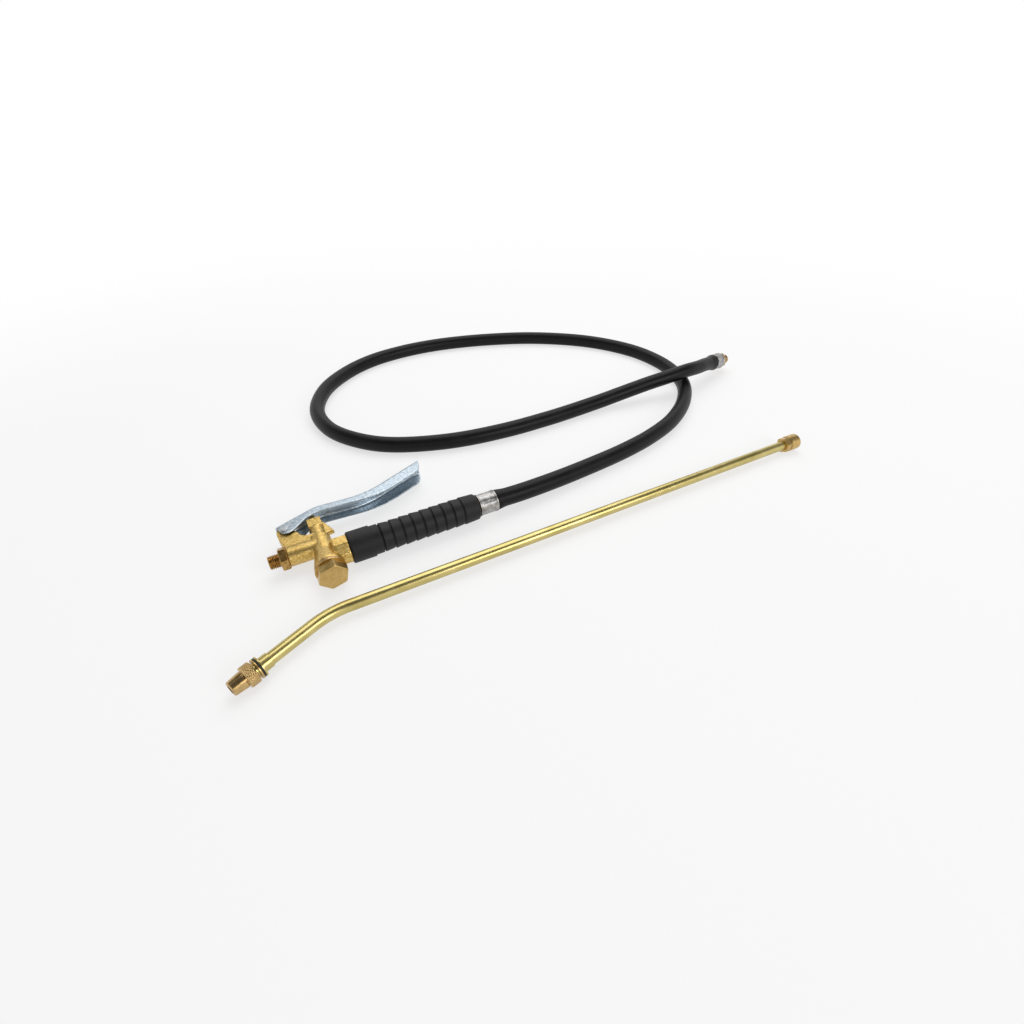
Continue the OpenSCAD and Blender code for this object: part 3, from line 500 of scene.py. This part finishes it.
# the middle of the sheet runs down one side, round a fold, over the web and down the other side
middle_r = LEVER_FOLD_R - LEVER_SHEET / 2
side_run = (depth - LEVER_FOLD_R)[:, None]
side_share = np.r_[0, 0.006, 0.02, 0.04, 0.07, np.linspace(0.12, 1, 12)][None, :]
fold_turn = np.linspace(0, np.pi / 2, 11)[1:-1][None, :]
web_share = np.linspace(-1, 1, 17)[None, :]
ones = np.ones_like(side_run)
half_flat = LEVER_WIDTH / 2 - LEVER_FOLD_R
inward = np.hstack([LEVER_FOLD_R + side_run * (1 - side_share),
                    ones * (LEVER_FOLD_R - middle_r * np.sin(fold_turn)),
                    ones * (LEVER_SHEET / 2 + 0 * web_share),
                    ones * (LEVER_FOLD_R - middle_r * np.sin(fold_turn[:, ::-1])),
                    LEVER_FOLD_R + side_run * (1 - side_share[:, ::-1])])
across = np.hstack([ones * (half_flat + middle_r + 0 * side_share),
                    ones * (half_flat + middle_r * np.cos(fold_turn)), -ones * half_flat * web_share,
                    -ones * (half_flat + middle_r * np.cos(fold_turn[:, ::-1])),
                    -ones * (half_flat + middle_r + 0 * side_share)])
# outward direction of the sheet, and its half thickness, which rounds off to nothing at every cut edge
out_in = np.hstack([0 * ones * side_share, -ones * np.sin(fold_turn), -ones + 0 * web_share,
                    -ones * np.sin(fold_turn[:, ::-1]), 0 * ones * side_share])
out_across = np.hstack([ones + 0 * side_share, ones * np.cos(fold_turn), 0 * ones * web_share,
                        -ones * np.cos(fold_turn[:, ::-1]), -ones + 0 * side_share])
side_edge = side_run * side_share
# the folds and the web lie further from the sides' edges than the rounding reaches
far = LEVER_WIDTH * ones
to_edge = np.hstack([side_edge, far + 0 * fold_turn, far + 0 * web_share, far + 0 * fold_turn,
                     side_edge[:, ::-1]])
to_end = np.minimum(stations, lever_length - stations)[:, None]
near_edge = np.clip(np.minimum(to_edge, to_end) / (LEVER_SHEET / 2), 0, 1)
half_sheet = LEVER_SHEET / 2 * np.sqrt(1 - (1 - near_edge) ** 2)


def lever_face(side):
    """Sheet middle + side x half thickness x outward, then carried along the path: place + inward (sin, -cos
    of the slope) leaning back by the slant, with the across distance straight up."""
    d = inward + side * half_sheet * out_in
    w = across + side * half_sheet * out_across
    x = path_x + d * (np.sin(slope) - slant * np.cos(slope))
    y = path_y - d * (np.cos(slope) + slant * np.sin(slope))
    return GUN + MM * np.stack([x, y, w], -1)


# zinc plate on cold-rolled steel: light blue grey, speckled every 2.4 mm, with rolling lines along the sheet
zinc_plate, tree = new_finish("zinc_plated_steel")
cloud = noise(tree, scale=420, detail=6, roughness=0.7)
rolling = noise(tree, detail=2, stretch=(90, 2600, 2600), turn=-0.35)
coat(tree, {
    "Base Color": ramp(tree, cloud, (0.3, "#8d9ba7"), (0.5, "#adb9c2"), (0.7, "#d3dbe0")), "Metallic": 1.0,
    "Roughness": between(tree, cloud, 0.26, 0.46), "Normal": bumps(tree, rolling, 0.15, 0.0001)})

lever = skin("squeeze_lever", np.hstack([lever_face(1), lever_face(-1)[:, ::-1]]), loop=False)
put_on(lever, zinc_plate, "lever", "zinc_steel", "lever")


# ---- Lever pin ----
# Steel rivet through both ears and the lug: a domed head on one side and a peened head on the other.
PIN_AT = GUN + np.array([*PIN, 0]) * MM

# bright steel: turned, bare and evenly grey, with weak patches of 7 mm
bright_steel, tree = new_finish("bright_steel")
cloud = noise(tree, scale=150)
coat(tree, {
    "Base Color": ramp(tree, cloud, (0.3, "#b4b8bc"), (0.7, "#c6cacd")), "Metallic": 1.0,
    "Roughness": between(tree, cloud, 0.3, 0.36)})
pin = turned("lever_rivet", fine(rounded([
    [0, -9.38], [2.9, -9.38], [3.5, -8.6], [3.5, -8.2], [2.5, -8.2], [2.5, 8.2], [4, 8.2], [4, 8.6],
    [3.2, 9.38], [0, 9.38]], 0.3, closed=False), 0.5), PIN_AT, ALONG_X, ALONG_Z, sides=48)
put_on(pin, bright_steel, "gun", "bare_steel", "lever_pin")


# ---- Grip ----
# Soft PVC moulded over the steel handle tube: a plain collar, then ribs that each start high and fall away
# behind, with a narrow groove between them. Matt charcoal with a fine moulded grain.
GRIP_RIBS = 9
RIB_FROM = 28.0
RIB_TO = 104.0
COLLAR_R, RIB_R, GRIP_BORE_R = 14.0, 13.0, 7.0
RIB_FALL = 0.7
GROOVE = 1.3
GROOVE_HALF = 0.9
groove_x = np.linspace(RIB_FROM, RIB_TO, GRIP_RIBS)[:, None]
falls = np.where(np.arange(GRIP_RIBS) == 0, 0, RIB_FALL)[:, None]
ribs = np.stack([
    np.hstack([RIB_R - falls, falls * 0 + RIB_R - GROOVE, falls * 0 + RIB_R - GROOVE, falls * 0 + RIB_R]),
    groove_x + GROOVE_HALF * np.array([[-1, -1 / 3, 1 / 3, 1]])], -1).reshape(-1, 2)
grip_outline = fine(rounded(np.vstack([
    [[GRIP_BORE_R, 0], [COLLAR_R - 1.5, 0], [COLLAR_R - 0.5, 0.5], [COLLAR_R, 1.5], [COLLAR_R, 20],
     [RIB_R, 20.3]], ribs,
    [[RIB_R - RIB_FALL, 118.5], [10.85, 120], [GRIP_BORE_R, 120]]]), 0.3), 1.5)

# moulded soft PVC: charcoal and matt, with the mould's 0.45 mm grain and faint patches of 14 mm
soft_pvc, tree = new_finish("moulded_soft_pvc")
grain = noise(tree, scale=2200)
cloud = noise(tree, scale=70, detail=4)
coat(tree, {
    "Base Color": ramp(tree, cloud, (0.3, "#101012"), (0.7, "#1c1b1e")),
    "Roughness": between(tree, cloud, 0.46, 0.62), "Normal": bumps(tree, grain, 0.3, 0.0001),
    "IOR": 1.5, "Specular IOR Level": 0.35})
grip = turned("moulded_grip", grip_outline, GUN, -ALONG_Z, ALONG_X)
put_on(grip, soft_pvc, "gun", "black_grip", "grip")


# ---- Ferrules ----
# Thin aluminium sleeves, pressed onto the hose in a die: bright rolled rims and a lightly hammered middle.
FERRULE = [[7, 0], [10.5, 0], [10.5, 1.2], [10.2, 1.5], [10.2, 16.5], [10.5, 16.8], [10.5, 18],
           [9.05, 18], [9.05, 1.2], [7, 1.2]]


def pressed(r, a, z):
    """Eight shallow press marks round the middle: r less 0.22 mm x |cos 4a|^6, faded towards the rims."""
    mark = 0.22 * np.abs(np.cos(4 * a)) ** 6 * ease((z - 1.6) / 1.5) * ease((16.4 - z) / 1.5)
    return np.where(r > 9.6, r - mark, r)


# pressed aluminium: silvery, dented by the die every 2.4 mm, with dull and bright patches of 4 mm
pressed_aluminium, tree = new_finish("pressed_aluminium")
dents = noise(tree, scale=420)
cloud = noise(tree, scale=240, detail=4)
coat(tree, {
    "Base Color": ramp(tree, cloud, (0.32, "#7b7a78"), (0.64, "#bcbab8")), "Metallic": 1.0,
    "Roughness": between(tree, cloud, 0.3, 0.5), "Normal": bumps(tree, dents, 0.3, 0.0004)})

END_X = np.array([-np.sin(END_DIP) * np.cos(END_YAW), -np.sin(END_DIP) * np.sin(END_YAW), -np.cos(END_DIP)])
handle_ferrule = turned("front_ferrule", fine(rounded(FERRULE, 0.2), 0.8), HOSE_EXIT - 1.2 * MM * ALONG_X,
                        -ALONG_Z, ALONG_X, change=pressed)
put_on(handle_ferrule, pressed_aluminium, "gun", "soft_aluminium", "handle_ferrule")
end_ferrule = turned("far_ferrule", fine(rounded(FERRULE, 0.2), 0.8), HOSE_END + 1.2 * MM * END_WAY,
                     END_X, -END_WAY, change=pressed)
put_on(end_ferrule, pressed_aluminium, "gun", "soft_aluminium", "end_ferrule")


# ---- Far fitting ----
# Brass tail with a hexagon and a 12 mm male thread, pushed into the hose's far end and held by its ferrule.
# It has the same thread and the same brown patches as the outlet nipple.
fitting_outline = fine(rounded([
    [3, -20], [4.3, -20], [4.9, 0], [6.9, 0], [6.9, 1.2], [8.75, 1.2], [10, 2.2], [10, 8.2], [8.75, 9.2],
    [6, 9.2], [6, 19.4], [5.2, 20.2], [3, 20.2]], 0.15), 0.18)
fitting = turned("hose_fitting", fitting_outline, HOSE_END, END_X, END_WAY,
                 change=both(hexagon(flats=17, corner_at=0, low=1.1, high=9.3, faces=[1.2, 9.2]),
                             thread(low=9.6, high=20.2, crest=6)))
put_on(fitting, thread_brass, "gun", "turned_brass", "end_fitting")


# ---- Lance tube ----
# Drawn brass tube, 10 mm outside, bent once by 25 degrees near the nozzle. Satin, pale and a little green,
# with fine draw lines along it.

# where the straight tube begins behind the bend, on its axis
LANCE = np.array([-207, -52.3, 8.5]) * MM
TUBE_R, TUBE_BORE_R = 5 * MM, 4 * MM
BEND = np.radians(25)
BEND_R = 70.0
LEG_FROM, LEG = 25.0, 66.0
LANCE_RUN = 486.0
leg_way = np.array([np.cos(BEND), np.sin(BEND), 0])
turn = np.linspace(BEND, 0, 26)[:, None]
arc = np.hstack([-BEND_R * np.sin(turn), BEND_R * np.cos(turn) - BEND_R, 0 * turn])
leg = arc[0] - np.array([[LEG - LEG_FROM], [30], [20], [10]]) * leg_way
straight = np.array([[x, 0, 0] for x in (10, 30, 80, 160, 240, 320, 400, 460, LANCE_RUN)])
tube_line = LANCE + MM * np.vstack([leg, arc, straight])
tube_way = unit(np.vstack([leg_way, tube_line[2:] - tube_line[:-2], ALONG_X]))

# drawn brass: pale, a little green and satin, with the die's lines along it and clouds of 17 mm
drawn_brass, tree = new_finish("drawn_brass_tube")
draw_lines = noise(tree, coords="UV", stretch=(90, 14, 1))
cloud = noise(tree, scale=60, detail=5)
coat(tree, {
    "Base Color": ramp(tree, cloud, (0.3, "#b9a967"), (0.7, "#d0c083")), "Metallic": 1.0,
    "Roughness": between(tree, cloud, 0.22, 0.36), "Normal": bumps(tree, draw_lines, 0.2, 0.0001)})
tube = skin("bent_tube", np.vstack([
    tube_grid(tube_line, tube_way, TUBE_R, sides=64),
    tube_grid(tube_line, tube_way, TUBE_BORE_R, sides=64)[::-1]]), loop=True)
put_on(tube, drawn_brass, "lance", "tube_brass", "lance_tube")


# ---- Nozzle ----
# Turned brass: a sleeve soldered on the tube with a flange and a spigot, a thin lock ring, a rubber ring, and
# the polished cap, which screws in and out by its knurled ring and tapers to its nose.
NOZZLE = LANCE + MM * (arc[0] - LEG * leg_way)
KNURL_COUNT = 34
KNURL_DEPTH = 0.35


def knurled(r, a, z):
    """Two sets of slanting ridges: r less the depth where either |sin| is low, between the ring's edges."""
    lean = (z - 14.3) * KNURL_COUNT / 17
    ridge = np.minimum(np.abs(np.sin(KNURL_COUNT / 2 * a + lean)), np.abs(np.sin(KNURL_COUNT / 2 * a - lean)))
    inside = ease((z - 11.3) / 0.3) * ease((17.3 - z) / 0.3)
    return np.where(r > 8, r - KNURL_DEPTH * (1 - np.sqrt(ridge)) * inside, r)


# polished brass: browner, with sharp dark and light reflections and weak patches of 4 mm
polished_brass, tree = new_finish("polished_brass")
cloud = noise(tree, scale=260)
coat(tree, {
    "Base Color": ramp(tree, cloud, (0.3, "#b0915f"), (0.7, "#c9ac78")), "Metallic": 1.0,
    "Roughness": between(tree, cloud, 0.14, 0.24)})

# the sleeve is of the tube's own pale brass
nozzle_axes = (NOZZLE, -ALONG_Z, leg_way)
sleeve = turned("nozzle_sleeve", fine(rounded([
    [3, 7], [5.2, 7], [5.2, 22], [8.15, 22], [8.15, 23.2], [5.8, 23.2], [5.8, 30], [5.05, 30], [5.05, 25],
    [3, 25]], 0.2), 1), *nozzle_axes)
put_on(sleeve, drawn_brass, "lance", "turned_brass", "nozzle_body")
lock_ring = turned("thin_ring", rounded([
    [5.25, 19.4], [8, 19.4], [8, 20.6], [5.25, 20.6]], 0.25), *nozzle_axes)
put_on(lock_ring, turned_brass, "lance", "turned_brass", "lock_ring")

# nitrile rubber: black and half matt, uneven every 3 mm
nitrile, tree = new_finish("nitrile_rubber")
cloud = noise(tree, scale=300)
coat(tree, {
    "Base Color": ramp(tree, cloud, (0.3, "#131314"), (0.7, "#1f1f20")), "Roughness": 0.5, "IOR": 1.5})
seal_ring = turned("rubber_ring", rounded([[5.2, 20.62], [7.9, 20.62], [7.9, 21.98], [5.2, 21.98]], 0.65),
                   *nozzle_axes)
put_on(seal_ring, nitrile, "lance", "seal_rubber", "nozzle_seal")

nozzle_cap = turned("knurled_cap", fine(rounded([
    [3.5, 0], [4.9, 0], [5.7, 0.8], [6.6, 9.6], [6.1, 10], [6.1, 10.6], [7.9, 10.6], [8.5, 11.2], [8.5, 17.4],
    [7.9, 18], [5.4, 18], [5.4, 4.35], [3.5, 4.35]], 0.15), 0.2), *nozzle_axes, sides=306, change=knurled)
put_on(nozzle_cap, polished_brass, "nozzle_cap", "turned_brass", "nozzle_cap")


# ---- Union nut ----
# Brass nut on the lance's plain end: a short hexagon on the tube's side, then a smooth round body, bored
# plain where its female thread is. It turns freely against a collar that is brazed on the tube.
UNION = LANCE + np.array([482, 0, 0]) * MM
union = turned("turned_union", fine(rounded([
    [5.05, 0], [7.75, 0], [8.7, 1], [8.7, 6.9], [7.6, 7.1], [8.5, 8], [8.5, 19], [7.5, 20], [6.05, 20],
    [6.05, 8.5], [6.4, 8.5], [6.4, 4], [5.05, 4]], 0.15), 0.25), UNION, -ALONG_Z, ALONG_X,
    change=hexagon(flats=14.72, corner_at=0, low=-0.5, high=7.05, faces=[0, 7]))
put_on(union, turned_brass, "union_nut", "turned_brass", "union_nut")


# ---- Parts inside ----
# The spring, spindle, seals, packing, gland nut, steel handle tube, hose tail, swirl core, jet disc and union
# collar are mostly hidden. They are the plain solids, each in its own metal or rubber.
INSIDE = {
    turned_brass: ["valve_spindle", "gland_nut", "hose_tail", "swirl_core", "union_collar"],
    bright_steel: ["valve_spring", "handle_tube", "jet_disc"],
    nitrile: ["disc_seal", "stem_packing", "jet_gasket", "union_seal"],
}
for finish, names in INSIDE.items():
    for name in names:
        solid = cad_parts[name].data
        solid.materials.clear()
        solid.materials.append(finish)


# ---- Studio ----
# A plain white floor that goes over into a white room, a big soft light from above and behind, and a smaller
# one from the front. The camera sees the room as white; metal sees it white at the sides and grey overhead.
FLOOR_HALF = 20.0
WHITE_FROM, WHITE_TO = 0.5, 1.2
WHITE_SHARE_NEAR = 0.65
floor_mesh = bpy.data.meshes.new("floor")
corners = np.array([[-1, -1, 0], [1, -1, 0], [1, 1, 0], [-1, 1, 0]]) * FLOOR_HALF
floor_mesh.from_pydata(corners, [], [[0, 1, 2, 3]])
floor = bpy.data.objects.new("floor", floor_mesh)
bpy.context.scene.collection.objects.link(floor)


def seen_directly(tree):
    """1 for camera, glossy and transmission rays, and 0 for the rays that light things."""
    rays = add(tree, "ShaderNodeLightPath")
    first = add(tree, "ShaderNodeMath", {0: rays.outputs["Is Camera Ray"], 1: rays.outputs["Is Glossy Ray"]},
                operation="MAXIMUM")
    return add(tree, "ShaderNodeMath", {0: first.outputs[0], 1: rays.outputs["Is Transmission Ray"]},
               operation="MAXIMUM").outputs[0]


# matt white card: seen straight on, two thirds of it is plain white near the set and all of it further out
white_card, tree = new_finish("white_card")
coords = add(tree, "ShaderNodeTexCoord")
away = add(tree, "ShaderNodeVectorMath", {0: coords.outputs["Object"]}, operation="LENGTH")
white_share = add(tree, "ShaderNodeMapRange", {
    "Value": away.outputs["Value"], "From Min": WHITE_FROM, "From Max": WHITE_TO, "To Min": WHITE_SHARE_NEAR},
    interpolation_type="SMOOTHSTEP")
white_seen = add(tree, "ShaderNodeMath", {0: white_share.outputs["Result"], 1: seen_directly(tree)},
                 operation="MULTIPLY")
card = add(tree, "ShaderNodeBsdfDiffuse", {"Color": linear("#f8f8f8")})
white = add(tree, "ShaderNodeEmission", {"Color": linear("#ffffff"), "Strength": 1.0})
surface = add(tree, "ShaderNodeMixShader", {
    0: white_seen.outputs[0], 1: card.outputs[0], 2: white.outputs[0]})
add(tree, "ShaderNodeOutputMaterial", {"Surface": surface.outputs[0]})
floor_mesh.materials.append(white_card)

# each lamp's place and aim in metres, its side in metres and its power in watts
LAMPS = {
    "top_light": ((0.55, 1.05, 1.95), (0.0, 0.1, 0.0), 2.1, 30),
    "front_light": ((0.9, -1.9, 1.2), (-0.1, 0.0, 0.0), 0.9, 14),
}
for name, (place, aim, size, power) in LAMPS.items():
    lamp = bpy.data.lights.new(name, "AREA")
    lamp.shape = "SQUARE"
    lamp.size = size
    lamp.energy = power
    holder = bpy.data.objects.new(name, lamp)
    holder.location = place
    holder.rotation_mode = "QUATERNION"
    holder.rotation_quaternion = (Vector(aim) - Vector(place)).to_track_quat("-Z", "Y")
    bpy.context.scene.collection.objects.link(holder)

# the room reflected in metal darkens from 16 to 46 degrees up, which are directions 0.28 and 0.72 high
room = bpy.data.worlds.new("room")
bpy.context.scene.world = room
room.use_nodes = True
tree = room.node_tree
tree.nodes.clear()
coords = add(tree, "ShaderNodeTexCoord")
way = add(tree, "ShaderNodeSeparateXYZ", {0: coords.outputs["Generated"]})
rays = add(tree, "ShaderNodeLightPath")
overhead = add(tree, "ShaderNodeMapRange", {
    "Value": way.outputs["Z"], "From Min": 0.28, "From Max": 0.72, "To Min": 1.0, "To Max": 0.15},
    interpolation_type="SMOOTHSTEP")
plain = add(tree, "ShaderNodeMath", {0: overhead.outputs["Result"], 1: rays.outputs["Is Camera Ray"]},
            operation="MAXIMUM")
ambient = add(tree, "ShaderNodeBackground", {"Color": linear("#ffffff"), "Strength": 0.4})
backdrop = add(tree, "ShaderNodeBackground", {"Color": linear("#ffffff"), "Strength": plain.outputs[0]})
mixed = add(tree, "ShaderNodeMixShader", {
    0: seen_directly(tree), 1: ambient.outputs[0], 2: backdrop.outputs[0]})
add(tree, "ShaderNodeOutputWorld", {"Surface": mixed.outputs[0]})
bpy.context.scene.view_settings.view_transform = "Standard"
